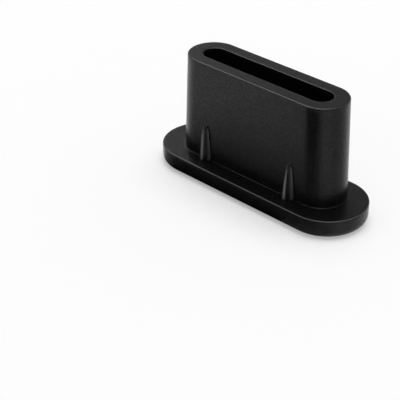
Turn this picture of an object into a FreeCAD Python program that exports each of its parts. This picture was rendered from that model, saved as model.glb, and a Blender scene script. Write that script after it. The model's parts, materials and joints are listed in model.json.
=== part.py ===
import FreeCAD, Part
import os

# A soft dust plug for a USB-C socket, moulded in one piece and standing on its head.
# Millimetres. Origin at the middle of the flat outer face, +Z up the stem, +X along the long side.

# Stem: squeezed into a socket mouth of 8.34 x 2.56, so its root is a little longer than that.
STEM_LENGTH = 8.40         # at the root
STEM_WIDTH = 2.24          # at the root
STEM_HEIGHT = 4.39
STEM_SETBACK = 0.115       # the stem stands this far behind the middle of the head
END_TAPER = 0.17           # each round end leans in by this much, to lead the stem in
SIDE_TAPER = 0.01          # mould draft on each broad side
TIP_EDGE_RADIUS = 0.05
ROOT_FILLET_RADIUS = 0.02

# Slot: 6.72 x 1.02 at its mouth, to clear the socket's own tongue of 6.69 x 0.70.
END_WALL = 0.67            # at the tip
SIDE_WALL = 0.60           # at the tip
SLOT_FLOOR = 0.44          # what is left between the slot and the head
SLOT_TAPER = 0.04          # mould draft on each wall of the slot
SLOT_MOUTH_RADIUS = 0.04
SLOT_FLOOR_RADIUS = 0.20

# Crush ribs: two on each broad side, which take up the play between the stem and the socket.
RIB_RADIUS = 0.31          # at its foot
RIB_HEIGHT = 1.62
RIB_LEAN = 0.06            # how far its side leans in on the way up to the tip
RIB_TIP_RADIUS = 0.18
RIB_TIP_HEIGHT = 0.62      # the round tip's share of the height
RIB_INSET = 0.76           # from the end of the stem's straight side
RIB_SINK = 0.02            # how far the middle of a rib lies inside the wall

# Head: stays outside the socket, covers its mouth and is pulled on with a fingernail.
END_LEDGE = 1.035          # how far the head stands out past the stem
SIDE_LEDGE = 0.655         # front and back taken together and halved
RIM_BAND = 0.50            # the straight part of the rim
FACE_EDGE_RADIUS = 0.36    # the soft edge around the outer face
SEAT_EDGE_RADIUS = 0.04    # the crisp edge around the face that meets the device

HEAD_LENGTH = STEM_LENGTH + 2 * END_LEDGE
HEAD_WIDTH = STEM_WIDTH + 2 * SIDE_LEDGE
HEAD_THICK = RIM_BAND + FACE_EDGE_RADIUS
TIP_LENGTH = STEM_LENGTH - 2 * END_TAPER
TIP_WIDTH = STEM_WIDTH - 2 * SIDE_TAPER
TIP_Z = HEAD_THICK + STEM_HEIGHT
SLOT_LENGTH = TIP_LENGTH - 2 * END_WALL
SLOT_WIDTH = TIP_WIDTH - 2 * SIDE_WALL
SLOT_FLOOR_Z = HEAD_THICK + SLOT_FLOOR

ORIGIN = FreeCAD.Vector(0, 0, 0)
UP = FreeCAD.Vector(0, 0, 1)


def obround(length, width, z):
    """A flat closed outline at height z: two straight sides and two half-round ends."""
    radius = width / 2
    straight = length / 2 - radius
    front_left = FreeCAD.Vector(-straight, -radius, z)
    front_right = FreeCAD.Vector(straight, -radius, z)
    right_end = FreeCAD.Vector(length / 2, 0, z)
    back_right = FreeCAD.Vector(straight, radius, z)
    back_left = FreeCAD.Vector(-straight, radius, z)
    left_end = FreeCAD.Vector(-length / 2, 0, z)
    return Part.Wire([
        Part.makeLine(front_left, front_right),
        Part.Arc(front_right, right_end, back_right).toShape(),
        Part.makeLine(back_right, back_left),
        Part.Arc(back_left, left_end, front_left).toShape(),
    ])


def outline_edges(shape, length, width, z):
    """The shape's edges that run along the obround of this size at height z."""
    outline = obround(length, width, z)
    found = []
    for edge in shape.Edges:
        middle = edge.valueAt((edge.FirstParameter + edge.LastParameter) / 2)
        ends = [vertex.Point for vertex in edge.Vertexes]
        if all(Part.Vertex(point).distToShape(outline)[0] < 1e-4 for point in [middle, *ends]):
            found.append(edge)
    return found


def round_outline(shape, length, width, z, radius):
    return shape.makeFillet(radius, outline_edges(shape, length, width, z))


def make_head():
    head = Part.Face(obround(HEAD_LENGTH, HEAD_WIDTH, 0)).extrude(UP * HEAD_THICK)
    head = round_outline(head, HEAD_LENGTH, HEAD_WIDTH, 0, FACE_EDGE_RADIUS)
    return round_outline(head, HEAD_LENGTH, HEAD_WIDTH, HEAD_THICK, SEAT_EDGE_RADIUS)


def make_stem():
    root = obround(STEM_LENGTH, STEM_WIDTH, HEAD_THICK)
    tip = obround(TIP_LENGTH, TIP_WIDTH, TIP_Z)
    stem = Part.makeLoft([root, tip], True, True)
    return round_outline(stem, TIP_LENGTH, TIP_WIDTH, TIP_Z, TIP_EDGE_RADIUS)


def make_slot():
    """The space that the socket's tongue goes into, with a rounded floor."""
    floor_length = SLOT_LENGTH - 2 * SLOT_TAPER
    floor_width = SLOT_WIDTH - 2 * SLOT_TAPER
    floor = obround(floor_length, floor_width, SLOT_FLOOR_Z)
    mouth = obround(SLOT_LENGTH, SLOT_WIDTH, TIP_Z)
    slot = Part.makeLoft([floor, mouth], True, True)
    return round_outline(slot, floor_length, floor_width, SLOT_FLOOR_Z, SLOT_FLOOR_RADIUS)


def make_rib(inward):
    """A bullet-shaped rib standing at the origin: an upright profile, turned.

    Its side leans in from the foot and closes over in a round tip. The turn starts on the inward
    side, along Y, where the rib is sunk in the stem.
    """
    across = FreeCAD.Vector(0, inward, 0)
    foot = across * RIB_RADIUS
    shoulder = across * (RIB_RADIUS - RIB_LEAN) + UP * (RIB_HEIGHT - RIB_TIP_HEIGHT)
    top = UP * RIB_HEIGHT
    side = Part.BezierCurve()
    side.setPoles([foot, shoulder, across * RIB_TIP_RADIUS + top, top])
    profile = Part.Wire([
        Part.makeLine(ORIGIN, foot),
        side.toShape(),
        Part.makeLine(top, ORIGIN),
    ])
    return Part.Face(profile).revolve(ORIGIN, UP, 360)


def make_ribs():
    """Ribs standing on the head, each a little more than half sunk in a broad side of the stem."""
    rib_x = STEM_LENGTH / 2 - STEM_WIDTH / 2 - RIB_INSET
    ribs = []
    for x in (-rib_x, rib_x):
        for side in (-1, 1):
            rib = make_rib(-side)
            rib.translate(FreeCAD.Vector(x, side * (STEM_WIDTH / 2 - RIB_SINK), HEAD_THICK))
            ribs.append(rib)
    return ribs


def make_plug():
    """The plug is put together around the stem, then moved to stand on the middle of its head."""
    setback = FreeCAD.Vector(0, STEM_SETBACK, 0)
    plug = make_head().translated(-setback).fuse(make_stem()).removeSplitter()
    plug = round_outline(plug, STEM_LENGTH, STEM_WIDTH, HEAD_THICK, ROOT_FILLET_RADIUS)
    plug = plug.fuse(make_ribs()).cut(make_slot())
    plug = round_outline(plug, SLOT_LENGTH, SLOT_WIDTH, TIP_Z, SLOT_MOUTH_RADIUS)
    return plug.removeSplitter().translated(setback)


plug = make_plug()
os.makedirs("parts", exist_ok=True)
plug.exportStep("parts/dust_plug.step")
print("dust_plug:", len(plug.Solids), "solid, volume", round(plug.Volume, 2), "mm3")
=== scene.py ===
# %% [markdown]
# # A black dust plug for a USB-C socket
#
# The plug is a single moulding of soft black silicone: a head, a hollow stem and four small crush
# ribs. It stands on its head on a white table. Everything is in metres, because the measured model
# that this script loads is in metres, so a helper value turns millimetres into them.

# %% Load the measured plug
import json
import math

import bmesh
import bpy
from mathutils import Matrix, Vector


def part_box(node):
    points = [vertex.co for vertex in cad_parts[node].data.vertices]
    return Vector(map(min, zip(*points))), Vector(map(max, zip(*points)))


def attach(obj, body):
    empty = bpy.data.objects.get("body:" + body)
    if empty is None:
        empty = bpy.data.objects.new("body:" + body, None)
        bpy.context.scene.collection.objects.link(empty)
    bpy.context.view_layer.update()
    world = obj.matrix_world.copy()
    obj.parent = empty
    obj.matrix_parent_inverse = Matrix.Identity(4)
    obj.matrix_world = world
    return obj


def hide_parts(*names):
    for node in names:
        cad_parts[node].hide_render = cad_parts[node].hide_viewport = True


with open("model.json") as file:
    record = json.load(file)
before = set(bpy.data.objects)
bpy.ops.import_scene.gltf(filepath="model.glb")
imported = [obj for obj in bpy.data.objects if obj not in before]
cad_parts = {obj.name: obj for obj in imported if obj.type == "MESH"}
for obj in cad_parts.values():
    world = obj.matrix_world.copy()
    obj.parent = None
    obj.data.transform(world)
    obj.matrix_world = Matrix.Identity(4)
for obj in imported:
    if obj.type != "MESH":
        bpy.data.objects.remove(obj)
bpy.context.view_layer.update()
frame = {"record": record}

MM = 0.001

# %% [markdown]
# ## Sizes
#
# The overall sizes come from the loaded plug and from its record, so that they follow it when it
# changes. The record says where the seat face is, which is the ledge that meets the device, and how
# far the stem stands behind the middle of the head. Only ledges, walls, tapers and edge radii, which
# the record doesn't hold, are written here.

# %% Read the sizes
low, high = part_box("dust_plug")
mounts = {mount["name"]: mount for mount in frame["record"]["mounts"]}

head_length = high.x - low.x
head_width = high.y - low.y
seat_z = mounts["seat_face"]["pos_m"][2]
stem_setback = mounts["stem"]["pos_m"][1]
tip_z = high.z

END_LEDGE = 1.035 * MM
SIDE_LEDGE = 0.655 * MM
END_TAPER = 0.17 * MM
SIDE_TAPER = 0.01 * MM
END_WALL = 0.67 * MM
SIDE_WALL = 0.60 * MM
SLOT_FLOOR = 0.44 * MM
SLOT_TAPER = 0.04 * MM

FACE_EDGE_RADIUS = 0.36 * MM
SEAT_EDGE_RADIUS = 0.04 * MM
ROOT_FILLET_RADIUS = 0.02 * MM
TIP_EDGE_RADIUS = 0.05 * MM
SLOT_MOUTH_RADIUS = 0.04 * MM
SLOT_FLOOR_RADIUS = 0.20 * MM

print("head", round(head_length / MM, 2), "x", round(head_width / MM, 2), "mm")
print("seat at", round(seat_z / MM, 2), "mm, tip at", round(tip_z / MM, 2), "mm")

# %% [markdown]
# ## One skin for the whole moulding
#
# Apart from the ribs, every level cut through the plug is an obround: two straight sides and two
# half-round ends. So the whole skin, from the middle of the outer face, up the outside and down into
# the slot, is a row of obround rings joined by quads, as a loft would make it. A box with bevels and a
# boolean cut would be quicker to start, but its edges would be uneven. Rings give every edge its own
# true radius and keep the mesh in clean quads. An outline is a small tuple: half the straight side,
# the end radius, the height, and how far its middle lies behind the middle of the head.

# %% Helpers for obround outlines
ARC_STEPS = 48
SIDE_STEPS = 26


def outline(length, width, z, back):
    return (length / 2 - width / 2, width / 2, z, back)


def ring_points(straight, radius, z, back):
    """Points round an obround, from the front left corner, anticlockwise seen from above."""
    points = []
    for turn in (0, 1):
        sign = 1 - 2 * turn
        for step in range(SIDE_STEPS):
            x = straight * (2 * step / SIDE_STEPS - 1)
            points.append((sign * x, back - sign * radius, z))
        for step in range(ARC_STEPS):
            angle = math.pi * (step / ARC_STEPS - 0.5)
            x = straight + radius * math.cos(angle)
            points.append((sign * x, back + sign * radius * math.sin(angle), z))
    return points


def between(start, end, steps):
    """Outlines spread evenly from one to another, without the first."""
    made = []
    for step in range(1, steps + 1):
        share = step / steps
        made.append(tuple(a + (b - a) * share for a, b in zip(start, end)))
    return made


def rounded(corner, radius, first_degrees, last_degrees, steps):
    """Outlines round an edge. The corner is the outline at the middle of the edge's circle."""
    straight, middle, z, back = corner
    made = []
    for step in range(steps + 1):
        angle = math.radians(first_degrees + (last_degrees - first_degrees) * step / steps)
        made.append((straight, middle + radius * math.cos(angle), z + radius * math.sin(angle), back))
    return made


print("a ring has", 2 * (SIDE_STEPS + ARC_STEPS), "points")

# %% [markdown]
# ## The row of outlines
#
# The list follows the moulding as a fingertip would: over the soft edge of the outer face, up the rim,
# across the ledge, up the stem, over the lip and down the slot to its floor. The tight edges are what
# catch the light as thin lines on the real plug, so each one has a few rings of its own.

# %% List the outlines from the outer face to the slot floor
FACE_EDGE_RINGS = 18
RIM_RINGS = 4
SEAT_EDGE_RINGS = 6
LEDGE_RINGS = 8
ROOT_FILLET_RINGS = 6
STEM_RINGS = 26
TIP_EDGE_RINGS = 8
LIP_RINGS = 5
SLOT_MOUTH_RINGS = 6
SLOT_RINGS = 20
SLOT_FLOOR_RINGS = 8

stem_length = head_length - 2 * END_LEDGE
stem_width = head_width - 2 * SIDE_LEDGE
tip_length = stem_length - 2 * END_TAPER
tip_width = stem_width - 2 * SIDE_TAPER
slot_length = tip_length - 2 * END_WALL
slot_width = tip_width - 2 * SIDE_WALL
slot_floor_z = seat_z + SLOT_FLOOR

head = outline(head_length, head_width, 0, 0)
root = outline(stem_length, stem_width, seat_z, stem_setback)
tip = outline(tip_length, tip_width, tip_z, stem_setback)
mouth = outline(slot_length, slot_width, tip_z, stem_setback)
floor_length = slot_length - 2 * SLOT_TAPER
floor_width = slot_width - 2 * SLOT_TAPER
floor = outline(floor_length, floor_width, slot_floor_z, stem_setback)


def moved(base, inward, up):
    """An outline made smaller all round, and lifted."""
    straight, radius, z, back = base
    return (straight, radius - inward, z + up, back)


def stem_outline(z):
    share = (z - seat_z) / (tip_z - seat_z)
    return tuple(a + (b - a) * share for a, b in zip(root, tip))


face_edge = moved(head, FACE_EDGE_RADIUS, FACE_EDGE_RADIUS)
seat_edge = moved(head, SEAT_EDGE_RADIUS, seat_z - SEAT_EDGE_RADIUS)
root_corner = moved(root, -ROOT_FILLET_RADIUS, ROOT_FILLET_RADIUS)
tip_edge = moved(tip, TIP_EDGE_RADIUS, -TIP_EDGE_RADIUS)
mouth_edge = moved(mouth, -SLOT_MOUTH_RADIUS, -SLOT_MOUTH_RADIUS)
floor_corner = moved(floor, SLOT_FLOOR_RADIUS, SLOT_FLOOR_RADIUS)

outlines = rounded(face_edge, FACE_EDGE_RADIUS, -90, 0, FACE_EDGE_RINGS)
outlines += between(outlines[-1], moved(head, 0, seat_z - SEAT_EDGE_RADIUS), RIM_RINGS)
outlines += rounded(seat_edge, SEAT_EDGE_RADIUS, 0, 90, SEAT_EDGE_RINGS)[1:]
outlines += between(outlines[-1], moved(root, -ROOT_FILLET_RADIUS, 0), LEDGE_RINGS)
outlines += rounded(root_corner, ROOT_FILLET_RADIUS, -90, -180, ROOT_FILLET_RINGS)[1:]
stem_foot = stem_outline(outlines[-1][2])
outlines += between(stem_foot, stem_outline(tip_z - TIP_EDGE_RADIUS), STEM_RINGS)
outlines += rounded(tip_edge, TIP_EDGE_RADIUS, 0, 90, TIP_EDGE_RINGS)[1:]
outlines += between(outlines[-1], moved(mouth, -SLOT_MOUTH_RADIUS, 0), LIP_RINGS)
outlines += rounded(mouth_edge, SLOT_MOUTH_RADIUS, 90, 180, SLOT_MOUTH_RINGS)[1:]
outlines += between(outlines[-1], moved(floor, 0, SLOT_FLOOR_RADIUS), SLOT_RINGS)
outlines += rounded(floor_corner, SLOT_FLOOR_RADIUS, 0, -90, SLOT_FLOOR_RINGS)[1:]
print(len(outlines), "outlines, the slot", round(slot_length / MM, 2), "mm long")

# %% [markdown]
# ## Joining the rings
#
# Two neighbouring rings have the same number of points, so they join point by point into quads. The
# outer face and the slot floor are flat ends. A single many-sided face would do there, but rungs
# across the obround give quads instead, which shade and export more cleanly.

# %% Make the skin
def close_end(mesh, ring):
    """Fills a flat ring with rungs that run across it, from its left tip to its right tip."""
    count = len(ring)
    half = count // 2
    right_tip = SIDE_STEPS + ARC_STEPS // 2
    left_tip = right_tip + half
    for step in range(half):
        front = [ring[(left_tip + step) % count], ring[(left_tip + step + 1) % count]]
        back = [ring[(left_tip - step - 1) % count], ring[(left_tip - step) % count]]
        corners = []
        for vertex in front + back:
            if vertex not in corners:
                corners.append(vertex)
        mesh.faces.new(corners)


def make_skin():
    mesh = bmesh.new()
    rings = []
    for level in outlines:
        rings.append([mesh.verts.new(point) for point in ring_points(*level)])
    for lower, upper in zip(rings, rings[1:]):
        for i in range(len(lower)):
            j = (i + 1) % len(lower)
            mesh.faces.new((lower[i], lower[j], upper[j], upper[i]))
    close_end(mesh, rings[0])
    close_end(mesh, rings[-1])
    bmesh.ops.recalc_face_normals(mesh, faces=mesh.faces)
    return mesh


def as_object(name, mesh):
    data = bpy.data.meshes.new(name)
    mesh.to_mesh(data)
    mesh.free()
    made = bpy.data.objects.new(name, data)
    bpy.context.scene.collection.objects.link(made)
    return made


plug = as_object("plug_moulding", make_skin())
print("skin of", len(plug.data.polygons), "faces")

# %% [markdown]
# ## Crush ribs
#
# Two small ribs stand on the ledge against each broad side of the stem. They fill the play between the
# stem and the socket, and flatten a little when the plug is pushed home. Each is half of a bullet:
# round in plan, widest at its foot, with sides that lean in and close over in a round tip. A rib is
# turned like a chess piece, from a single Bezier curve, sunk half into the wall and joined to the skin
# with a boolean union, so the finished plug is still one closed surface.

# %% Make the ribs and join them to the skin
RIB_RADIUS = 0.31 * MM
RIB_HEIGHT = 1.62 * MM
RIB_LEAN = 0.06 * MM
RIB_TIP_RADIUS = 0.18 * MM
RIB_TIP_HEIGHT = 0.62 * MM
RIB_INSET = 0.76 * MM
RIB_SINK = 0.02 * MM
RIB_DOWN = 0.20 * MM
RIB_TURN_STEPS = 48
RIB_RISE_STEPS = 30


def bezier(start, first_pull, last_pull, end, share):
    """A place on a curve that leaves its start towards the first pull and ends from the last one."""
    rest = 1 - share
    near = rest**3 * start + 3 * rest**2 * share * first_pull
    return near + 3 * rest * share**2 * last_pull + share**3 * end


def make_rib(mesh, x, y):
    """A closed bullet, which reaches a little way down into the head."""
    levels = [(RIB_RADIUS, -RIB_DOWN)]
    for step in range(RIB_RISE_STEPS):
        share = step / RIB_RISE_STEPS
        radius = bezier(RIB_RADIUS, RIB_RADIUS - RIB_LEAN, RIB_TIP_RADIUS, 0, share)
        rise = bezier(0, RIB_HEIGHT - RIB_TIP_HEIGHT, RIB_HEIGHT, RIB_HEIGHT, share)
        levels.append((radius, rise))
    rings = []
    for radius, rise in levels:
        ring = []
        for step in range(RIB_TURN_STEPS):
            turn = 2 * math.pi * step / RIB_TURN_STEPS
            place = (x + radius * math.cos(turn), y + radius * math.sin(turn), seat_z + rise)
            ring.append(mesh.verts.new(place))
        rings.append(ring)
    top = mesh.verts.new((x, y, seat_z + RIB_HEIGHT))
    for lower, upper in zip(rings, rings[1:]):
        for i in range(RIB_TURN_STEPS):
            j = (i + 1) % RIB_TURN_STEPS
            mesh.faces.new((lower[i], lower[j], upper[j], upper[i]))
    for i in range(RIB_TURN_STEPS):
        mesh.faces.new((rings[-1][i], rings[-1][(i + 1) % RIB_TURN_STEPS], top))
    mesh.faces.new(list(reversed(rings[0])))


def join(base, addition):
    """Unites two closed meshes and keeps the first object."""
    union = base.modifiers.new("union", "BOOLEAN")
    union.operation = "UNION"
    union.solver = "EXACT"
    union.object = addition
    graph = bpy.context.evaluated_depsgraph_get()
    united = bpy.data.meshes.new_from_object(base.evaluated_get(graph))
    base.modifiers.clear()
    base.data = united
    bpy.data.objects.remove(addition)


rib_mesh = bmesh.new()
rib_x = stem_length / 2 - stem_width / 2 - RIB_INSET
for x in (-rib_x, rib_x):
    for side in (-1, 1):
        make_rib(rib_mesh, x, stem_setback + side * (stem_width / 2 - RIB_SINK))
join(plug, as_object("ribs", rib_mesh))
print("with ribs:", len(plug.data.polygons), "faces")

# %% [markdown]
# ## Smooth and sharp
#
# The skin is shaded smooth, so that its rings don't show, but the crease where a rib meets the wall or
# the ledge stays sharp. Marking each edge by the angle between its faces does both at once.

# %% Shade the skin
CREASE_DEGREES = 35


def shade(piece):
    mesh = bmesh.new()
    mesh.from_mesh(piece.data)
    for face in mesh.faces:
        face.smooth = True
    creases = 0
    for edge in mesh.edges:
        sharp = len(edge.link_faces) == 2 and edge.calc_face_angle() > math.radians(CREASE_DEGREES)
        edge.smooth = not sharp
        creases += sharp
    open_edges = sum(len(edge.link_faces) != 2 for edge in mesh.edges)
    mesh.to_mesh(piece.data)
    mesh.free()
    print(creases, "crease edges,", open_edges, "open edges")


shade(plug)

# %% [markdown]
# ## Rubbed edges and painted highlights
#
# Rubber goes a little lighter where it is rubbed, along its tight outer edges. Here that grey is also a
# painted highlight: it paints the thin light lines that the edges catch. A tight edge is found by how
# fast the skin turns there: the angle between two neighbouring faces, divided by the way from the
# middle of one to the middle of the other. A small outer radius gives a large number, and a flat or
# hollow place gives nought or less. On a rib the grey is painted highlight only: a streak on the crest,
# where the skin faces straight out from the wall, and a weaker painted sheen far round its flanks. The
# edge of the slot gets no painted highlight and is left out. A painted mask would do the same, but
# these rules follow the form when it changes. The result is kept on the mesh for the material to read.

# %% Mark the rubbed edges and the painted highlights
# Sizes and strengths of the rubbed edges and of the painted highlights on edges and ribs.
EDGE_MARK_RADIUS = 0.07 * MM
EDGE_WEAR_AND_HIGHLIGHT = 0.3
CREST_HALF_DEGREES = 20
PAINTED_FLANK_SHEEN = 0.4
SHEEN_FROM_DEGREES = 48
BRIGHTEST_SHEEN_DEGREES = 68
JUST_CLEAR = 0.01 * MM


def turn_rate(edge):
    """How fast the skin turns across an edge, in radians for each metre. It is negative in a hollow."""
    one, other = edge.link_faces
    way = (one.calc_center_median() - other.calc_center_median()).length
    return edge.calc_face_angle_signed() / way


def edge_wear_and_highlight(point):
    """Rubbing and painted highlight lines on outer edges: full at half the mark radius or less, nought
    at it.
    """
    # The edge of the slot gets no painted highlight.
    across = abs(point.co.y - stem_setback)
    if across < slot_width and abs(point.co.x) < slot_length / 2 + SLOT_MOUTH_RADIUS:
        return 0
    tightness = EDGE_MARK_RADIUS * max(turn_rate(edge) for edge in point.link_edges)
    return EDGE_WEAR_AND_HIGHLIGHT * min(1, max(0, tightness - 1))


def painted_crest_highlight(point):
    """A painted highlight streak: full where a rib faces straight out, and fading to nought on both
    sides.
    """
    limit = math.cos(math.radians(CREST_HALF_DEGREES))
    return max(0, (abs(point.normal.y) - limit) / (1 - limit)) ** 2


def painted_flank_sheen(point):
    """A painted sheen: none towards the crest of a rib, and most far round its flanks."""
    start = math.sin(math.radians(SHEEN_FROM_DEGREES))
    most = math.sin(math.radians(BRIGHTEST_SHEEN_DEGREES))
    away = abs(abs(point.normal.x) - most)
    return PAINTED_FLANK_SHEEN * max(0, 1 - away / (most - start))


def rib_painted_highlight(point):
    """The painted highlight and sheen on a rib; nought where the point isn't on the free part of a rib.
    """
    out = abs(point.co.y - stem_setback) - stem_width / 2
    if out < JUST_CLEAR or point.co.z < seat_z + JUST_CLEAR:
        return 0
    return max(painted_crest_highlight(point), painted_flank_sheen(point))


def mark_wear_and_highlights(piece):
    mesh = bmesh.new()
    mesh.from_mesh(piece.data)
    worn = mesh.verts.layers.float.new("worn")
    for point in mesh.verts:
        # Rubbing with painted highlight lines on the edges, and a painted highlight and sheen on the
        # ribs.
        point[worn] = max(edge_wear_and_highlight(point), rib_painted_highlight(point))
    marked = sum(point[worn] > 0 for point in mesh.verts)
    mesh.to_mesh(piece.data)
    mesh.free()
    # Counts the points that carry rubbing and painted highlight.
    print(marked, "points are rubbed or dusty")


mark_wear_and_highlights(plug)
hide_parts("dust_plug")
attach(plug, "root")

# %% [markdown]
# ## Writing shader sums in Python
#
# A material is a graph of nodes. Adding two values by hand takes a node and two links, which is hard
# to read back. This small class wraps an output socket, so that `0.4 + 0.1 * grain` adds the nodes.

# %% A socket that can be used in sums
class Wire:
    """One output of a node tree. Sums of wires become Math nodes."""

    def __init__(self, tree, output=None):
        self.tree = tree
        self.output = output

    def node(self, kind, settings=None, inputs=None, output=0):
        """Adds a node, sets it up, then fills its sockets with values or wires."""
        made = self.tree.nodes.new(kind)
        for name, value in (settings or {}).items():
            setattr(made, name, value)
        for name, value in (inputs or {}).items():
            socket = self.find(made.inputs, name)
            if isinstance(value, Wire):
                self.tree.links.new(value.output, socket)
            else:
                socket.default_value = value
        return Wire(self.tree, self.find(made.outputs, output) if made.outputs else None)

    @staticmethod
    def find(sockets, name):
        """A socket by its number or by its identifier, because some nodes repeat a name."""
        if isinstance(name, int):
            return sockets[name]
        return next(socket for socket in sockets if socket.identifier == name)

    def math(self, operation, first, second):
        return self.node("ShaderNodeMath", {"operation": operation}, {0: first, 1: second})

    def __add__(self, other):
        return self.math("ADD", self, other)

    def __sub__(self, other):
        return self.math("SUBTRACT", self, other)

    def __rsub__(self, other):
        return self.math("SUBTRACT", other, self)

    def __mul__(self, other):
        return self.math("MULTIPLY", self, other)

    __radd__ = __add__
    __rmul__ = __mul__


def new_material(name):
    material = bpy.data.materials.new(name)
    material.use_nodes = True
    material.node_tree.nodes.clear()
    return material, Wire(material.node_tree)


# %% [markdown]
# ## Black silicone
#
# The mould that this plug comes out of was spark-eroded, which leaves a very fine, even grain on the
# rubber. It makes the black look satin instead of shiny. The colour is almost black, so what we see
# is mostly the white studio in its sheen, and a grain in the colour or the relief alone would hardly
# show. So one fine noise does three things: it lifts the surface by a few thousandths of a
# millimetre, changes the black a little, and feeds a thin coat, which makes the tops of the grain
# shine more than its pits. A slower noise changes the roughness a little, as handling does. The
# rubbed edges and the painted highlights on edges and ribs are grey, broken up by the same slow noise.

# %% Make the silicone
SILICONE_IOR = 1.40
SILICONE_SPECULAR = 0.25
SATIN_ROUGHNESS = 0.25
HANDLED_ROUGHNESS = 0.10
DEEP_BLACK = (0.0014, 0.0014, 0.0015, 1)
SOFT_BLACK = (0.0050, 0.0050, 0.0053, 1)
# Grey of the rubbed edges and of the painted highlights on edges and ribs.
WEAR_AND_HIGHLIGHT_GREY = (0.200, 0.200, 0.204, 1)
MARK_EVENNESS = 0.6
NOISE_ROUGHNESS = 0.55
GRAIN_SIZE = 0.070 * MM
GRAIN_DETAIL = 2
GRAIN_DEPTH = 0.012 * MM
GRAIN_CONTRAST = 3.0
GRAIN_SHINE = 0.27
HANDLING_SIZE = 1.6 * MM
HANDLING_DETAIL = 3


def noise(wires, place, size, detail):
    """A cloud of values round a half, with lumps of the given size."""
    return wires.node(
        "ShaderNodeTexNoise",
        {"noise_dimensions": "3D"},
        {"Vector": place, "Scale": 1 / size, "Detail": detail, "Roughness": NOISE_ROUGHNESS},
    )


def mix_colours(wires, share, first, second):
    settings = {"data_type": "RGBA"}
    inputs = {"Factor_Float": share, "A_Color": first, "B_Color": second}
    return wires.node("ShaderNodeMix", settings, inputs, output="Result_Color")


def black_silicone():
    material, wires = new_material("black_silicone")
    place = wires.node("ShaderNodeTexCoord", output="Object")
    grain = noise(wires, place, GRAIN_SIZE, GRAIN_DETAIL)
    handling = noise(wires, place, HANDLING_SIZE, HANDLING_DETAIL)
    worn = wires.node("ShaderNodeAttribute", {"attribute_name": "worn"}, output="Fac")
    # Where the rubbed edges and the painted highlights are, broken up by the slow noise.
    rubbed_and_highlight = worn * (MARK_EVENNESS + (1 - MARK_EVENNESS) * handling)
    specks = 0.5 + GRAIN_CONTRAST * (grain - 0.5)
    tone = mix_colours(wires, specks, DEEP_BLACK, SOFT_BLACK)
    relief = wires.node("ShaderNodeBump", inputs={"Height": grain, "Distance": GRAIN_DEPTH})
    surface = wires.node(
        "ShaderNodeBsdfPrincipled",
        inputs={
            "Base Color": mix_colours(wires, rubbed_and_highlight, tone, WEAR_AND_HIGHLIGHT_GREY),
            "Roughness": SATIN_ROUGHNESS + HANDLED_ROUGHNESS * (handling - 0.5),
            "IOR": SILICONE_IOR,
            "Specular IOR Level": SILICONE_SPECULAR,
            "Coat Weight": wires.math("MAXIMUM", GRAIN_SHINE * specks, 0),
            "Coat Roughness": SATIN_ROUGHNESS,
            "Normal": relief,
        },
    )
    wires.node("ShaderNodeOutputMaterial", inputs={"Surface": surface})
    return material


silicone = black_silicone()
plug.data.materials.clear()
plug.data.materials.append(silicone)
print("material", silicone.name, "with", len(silicone.node_tree.nodes), "nodes")

# %% [markdown]
# ## The white table
#
# The plug stands on a seamless white sheet. A plain matt sheet catches the soft contact shadow, and is
# what the black sides of the plug mirror. Stronger lamps could make it as white as in the picture, but
# they would also make the rubber grey. So part of its white is its own, for the eye and for reflections
# only. That part is small near the plug, so that the shadow stays, and grows to all of it far away,
# where the sheet fades into the background.

# %% Lay the table
TABLE_HALF = 1.5
TABLE_DROP = 0.002 * MM
TABLE_WHITE = (0.98, 0.98, 0.98, 1)
GLOW_WHITE = (1, 1, 1, 1)
TABLE_GLOW = 0.32
TABLE_FADE = 0.08


def seen_or_mirrored(wires):
    """One for a ray from the camera, a reflection or a view through glass, and nought for the rest."""
    rays = ("Is Camera Ray", "Is Glossy Ray", "Is Transmission Ray")
    camera_ray, glossy_ray, transmission_ray = [
        wires.node("ShaderNodeLightPath", output=name) for name in rays
    ]
    return wires.math("MINIMUM", camera_ray + glossy_ray + transmission_ray, 1)


def white_sheet():
    material, wires = new_material("white_sheet")
    paper = wires.node("ShaderNodeBsdfDiffuse", inputs={"Color": TABLE_WHITE})
    glow = wires.node("ShaderNodeEmission", inputs={"Color": GLOW_WHITE})
    place = wires.node("ShaderNodeTexCoord", output="Object")
    away = wires.node("ShaderNodeVectorMath", {"operation": "LENGTH"}, {0: place}, output="Value")
    far = wires.math("MINIMUM", away * (1 / TABLE_FADE), 1)
    share = (TABLE_GLOW + (1 - TABLE_GLOW) * far) * seen_or_mirrored(wires)
    sheet = wires.node("ShaderNodeMixShader", inputs={0: share, 1: paper, 2: glow})
    wires.node("ShaderNodeOutputMaterial", inputs={"Surface": sheet})
    return material


def make_table():
    mesh = bmesh.new()
    bmesh.ops.create_grid(mesh, x_segments=1, y_segments=1, size=TABLE_HALF)
    table = as_object("table", mesh)
    table.location.z = -TABLE_DROP
    table.data.materials.append(white_sheet())
    return table


table = make_table()
print(table.name, "of", 2 * TABLE_HALF, "m,", TABLE_DROP / MM, "mm below the plug")

# %% [markdown]
# ## Light
#
# Soft light from all round, as in a light tent, with one large softbox overhead that gives the plug its
# contact shadow. The tent is the world. It lights the plug evenly. To the eye and in reflections its
# lowest part is the white of the background, and the rest is a little dimmer than the light that it
# gives, which keeps the black deep.
#
# Black rubber has hardly any colour of its own, so its form is drawn by what it mirrors. Three more
# softboxes are there only to be mirrored. The one at the back left makes the level faces a little
# lighter towards their left end. The other two stand on the left and above the camera. No flat face
# shows them to the camera, but the tight rounded edges catch them as fine light lines. The left one
# stands far enough back for the stem to hide it from the corner at its own foot.

# %% Put up the tent and the softboxes
TENT_LIGHT = 0.36
TENT_SHEEN = 0.28
WHITE_UP_TO_DEGREES = 8
LAMP_DISTANCE = 1.0


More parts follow.
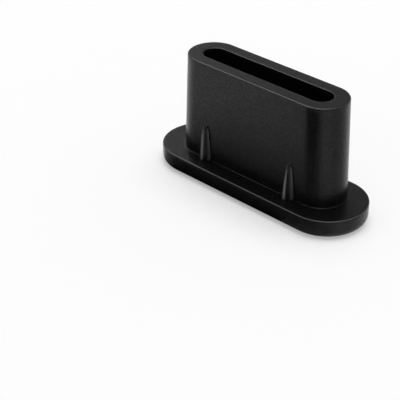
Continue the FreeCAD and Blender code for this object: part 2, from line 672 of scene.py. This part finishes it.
def make_tent():
    world = bpy.data.worlds.new("light_tent")
    bpy.context.scene.world = world
    world.use_nodes = True
    world.node_tree.nodes.clear()
    wires = Wire(world.node_tree)
    way = wires.node("ShaderNodeTexCoord", output="Generated")
    height = wires.node("ShaderNodeSeparateXYZ", inputs={"Vector": way}, output="Z")
    white_top = math.sin(math.radians(WHITE_UP_TO_DEGREES))
    low = wires.math("LESS_THAN", height, white_top)
    mirrored = TENT_SHEEN + (1 - TENT_SHEEN) * low
    strength = TENT_LIGHT + (mirrored - TENT_LIGHT) * seen_or_mirrored(wires)
    glow = wires.node("ShaderNodeBackground", inputs={"Color": GLOW_WHITE, "Strength": strength})
    wires.node("ShaderNodeOutputWorld", inputs={"Surface": glow})


def make_softbox(name, azimuth, elevation, width, height, brightness):
    """A softbox aimed at the plug, with angles in degrees and sizes in metres.

    Azimuth 0 is in front, and grows towards the plug's right.
    """
    lamp = bpy.data.lights.new(name, "AREA")
    lamp.shape = "RECTANGLE"
    lamp.size = width
    lamp.size_y = height
    lamp.energy = brightness * math.pi * width * height
    made = bpy.data.objects.new(name, lamp)
    bpy.context.scene.collection.objects.link(made)
    turn = math.radians(azimuth)
    rise = math.radians(elevation)
    way = Vector((math.sin(turn) * math.cos(rise), -math.cos(turn) * math.cos(rise), math.sin(rise)))
    middle = Vector((0, 0, tip_z / 2))
    made.location = middle + way * LAMP_DISTANCE
    made.rotation_mode = "QUATERNION"
    made.rotation_quaternion = (-way).to_track_quat("-Z", "Y")
    return made


make_tent()
make_softbox("top_softbox", azimuth=-165, elevation=82, width=0.80, height=0.70, brightness=4.3)
mirrored_softboxes = [
    make_softbox("back_softbox", azimuth=-117, elevation=26, width=0.50, height=0.40, brightness=0.5),
    make_softbox("left_softbox", azimuth=-106, elevation=58, width=0.60, height=0.60, brightness=7.0),
    make_softbox("camera_softbox", azimuth=46, elevation=62, width=0.60, height=0.50, brightness=4.0),
]
for softbox in mirrored_softboxes:
    softbox.visible_diffuse = False
print("a tent, a softbox and", len(mirrored_softboxes), "softboxes that are only mirrored")

# %% [markdown]
# ## Dark cards
#
# All of the table can't be white in the rubber, or the plug would look grey. A photographer lays dark
# cards beside a black thing, and its sides get darker where they mirror them. A card here is a flat
# grid of points, each with a clearness of its own, so that its rim can be soft. A painted sheet would
# do that too, but then the dark would be seen on the table. The cards are mirrored, but aren't seen
# and throw no shadow.

# %% Helpers for the cards
CARD_BLACK = (0.01, 0.01, 0.01, 1)
CARD_HEIGHT = 0.004 * MM


def card_paper():
    """Black where the card's clearness is nought, and gone where it is one."""
    material, wires = new_material("card_paper")
    clear = wires.node("ShaderNodeAttribute", {"attribute_name": "clear"}, output="Fac")
    black = wires.node("ShaderNodeBsdfDiffuse", inputs={"Color": CARD_BLACK})
    nothing = wires.node("ShaderNodeBsdfTransparent")
    paper = wires.node("ShaderNodeMixShader", inputs={0: clear, 1: black, 2: nothing})
    wires.node("ShaderNodeOutputMaterial", inputs={"Surface": paper})
    return material


def make_card(name, rows, paper):
    """A flat card on the table, from rows of places, each with its clearness."""
    mesh = bmesh.new()
    clear = mesh.verts.layers.float.new("clear")
    grid = []
    for row in rows:
        grid.append([mesh.verts.new((x, y, CARD_HEIGHT)) for x, y, _ in row])
        for point, (_, _, clearness) in zip(grid[-1], row):
            point[clear] = clearness
    for near, far in zip(grid, grid[1:]):
        for i in range(len(near) - 1):
            mesh.faces.new((near[i], near[i + 1], far[i + 1], far[i]))
    card = as_object(name, mesh)
    card.data.materials.append(paper)
    card.visible_camera = False
    card.visible_diffuse = False
    card.visible_shadow = False
    print(name, "of", len(card.data.polygons), "faces")


# %% [markdown]
# ## The card in front
#
# The broad side of the plug gets darker towards its foot, because its foot mirrors what lies close in
# front of it. So the first card lies along the front of the head. It is black near the plug and fades
# away. How it fades could be drawn as a curve, but a width and a power are enough.

# %% Lay the fading card along the front of the head
FADE_LEFT = -3.8 * MM
FADE_RIGHT = 2.6 * MM
FADE_START = 2.5 * MM
FADE_WIDTH = 5.0 * MM
FADE_POWER = 0.75
FADE_STEP = 0.25 * MM


def spread(first, last, step):
    """Numbers from the first to the last, about a step apart."""
    count = math.ceil((last - first) / step)
    return [first + (last - first) * i / count for i in range(count + 1)]


def fading_rows():
    front = -FADE_START - FADE_WIDTH
    back = -head_width / 2 + FACE_EDGE_RADIUS
    rows = []
    for y in spread(front, back, FADE_STEP):
        row = []
        for x in spread(FADE_LEFT - FADE_WIDTH, FADE_RIGHT + FADE_WIDTH, FADE_STEP):
            away = math.hypot(max(0, FADE_LEFT - x, x - FADE_RIGHT), max(0, -FADE_START - y))
            row.append((x, y, min(1, away / FADE_WIDTH) ** FADE_POWER))
        rows.append(row)
    return rows


paper = card_paper()
make_card("fading_card", fading_rows(), paper)

# %% [markdown]
# ## The cards round the right end
#
# A dark band runs down the plug where its broad side turns into the round end. Each strip of a round
# end mirrors its own direction along the table, so a slice of a ring, seen from above, makes an even
# band. A straight card would make one that is wider at its foot. A second, weaker slice takes the
# shine off the far side of that end.

# %% Lay the slices round the right end
SLICE_FROM = 1.5 * MM
SLICE_TO = 20 * MM
SLICE_SOFT_DEGREES = 16
SLICE_SOFT = 1.6 * MM
SLICE_STEP_DEGREES = 4
SLICE_STEP = 0.4 * MM


def slice_rows(first_degrees, last_degrees, darkness):
    """Part of a ring, counted from straight ahead towards the right, with a soft rim all round.

    The middle of the ring lies in the front half of the stem's right end.
    """
    middle_x = stem_length / 2 - stem_width / 4
    middle_y = stem_setback - stem_width / 4
    rows = []
    for radius in spread(SLICE_FROM, SLICE_TO, SLICE_STEP):
        rise = min(radius - SLICE_FROM, SLICE_TO - radius) / SLICE_SOFT
        row = []
        for degrees in spread(first_degrees, last_degrees, SLICE_STEP_DEGREES):
            turn = math.radians(degrees)
            side = min(degrees - first_degrees, last_degrees - degrees) / SLICE_SOFT_DEGREES
            clearness = 1 - darkness * min(1, rise) * min(1, side)
            x = middle_x + radius * math.sin(turn)
            y = middle_y - radius * math.cos(turn)
            row.append((x, y, clearness))
        rows.append(row)
    return rows


make_card("corner_card", slice_rows(first_degrees=-39, last_degrees=40, darkness=1.0), paper)
make_card("side_card", slice_rows(first_degrees=77, last_degrees=158, darkness=0.3), paper)

# %% [markdown]
# ## Camera
#
# The camera looks down on the plug from its front right, through a long lens. It could be placed by
# eye, but a place that is worked out from the plug's edges in the picture puts them right to less than
# a pixel. The middle of the seat face lies a little right of the middle of the picture and above it.

# %% Set up the camera
CAMERA_AZIMUTH_DEGREES = 44.39
CAMERA_ELEVATION_DEGREES = 31.75
CAMERA_ROLL_DEGREES = -0.18
CAMERA_DISTANCE = 49.554 * MM
SEAT_RIGHT_OF_CENTRE = 2.694 * MM
SEAT_ABOVE_CENTRE = 1.375 * MM
LENS_IN_MM = 105.26
CLIP_NEAR = 1 * MM
CLIP_FAR = 10


def make_camera():
    data = bpy.data.cameras.new("camera")
    data.lens = LENS_IN_MM
    data.clip_start = CLIP_NEAR
    data.clip_end = CLIP_FAR
    camera = bpy.data.objects.new("camera", data)
    bpy.context.scene.collection.objects.link(camera)
    tilt = Matrix.Rotation(math.radians(90 - CAMERA_ELEVATION_DEGREES), 4, "X")
    turn = Matrix.Rotation(math.radians(CAMERA_AZIMUTH_DEGREES), 4, "Z")
    roll = Matrix.Rotation(math.radians(CAMERA_ROLL_DEGREES), 4, "Z")
    facing = turn @ tilt @ roll
    back_off = Vector((-SEAT_RIGHT_OF_CENTRE, -SEAT_ABOVE_CENTRE, CAMERA_DISTANCE))
    seat_middle = Vector((0, stem_setback, seat_z))
    camera.matrix_world = Matrix.Translation(seat_middle + facing @ back_off) @ facing
    bpy.context.scene.camera = camera
    return camera


camera = make_camera()
bpy.context.scene.view_settings.view_transform = "Standard"
print("camera at", [round(v / MM, 2) for v in camera.location], "mm")
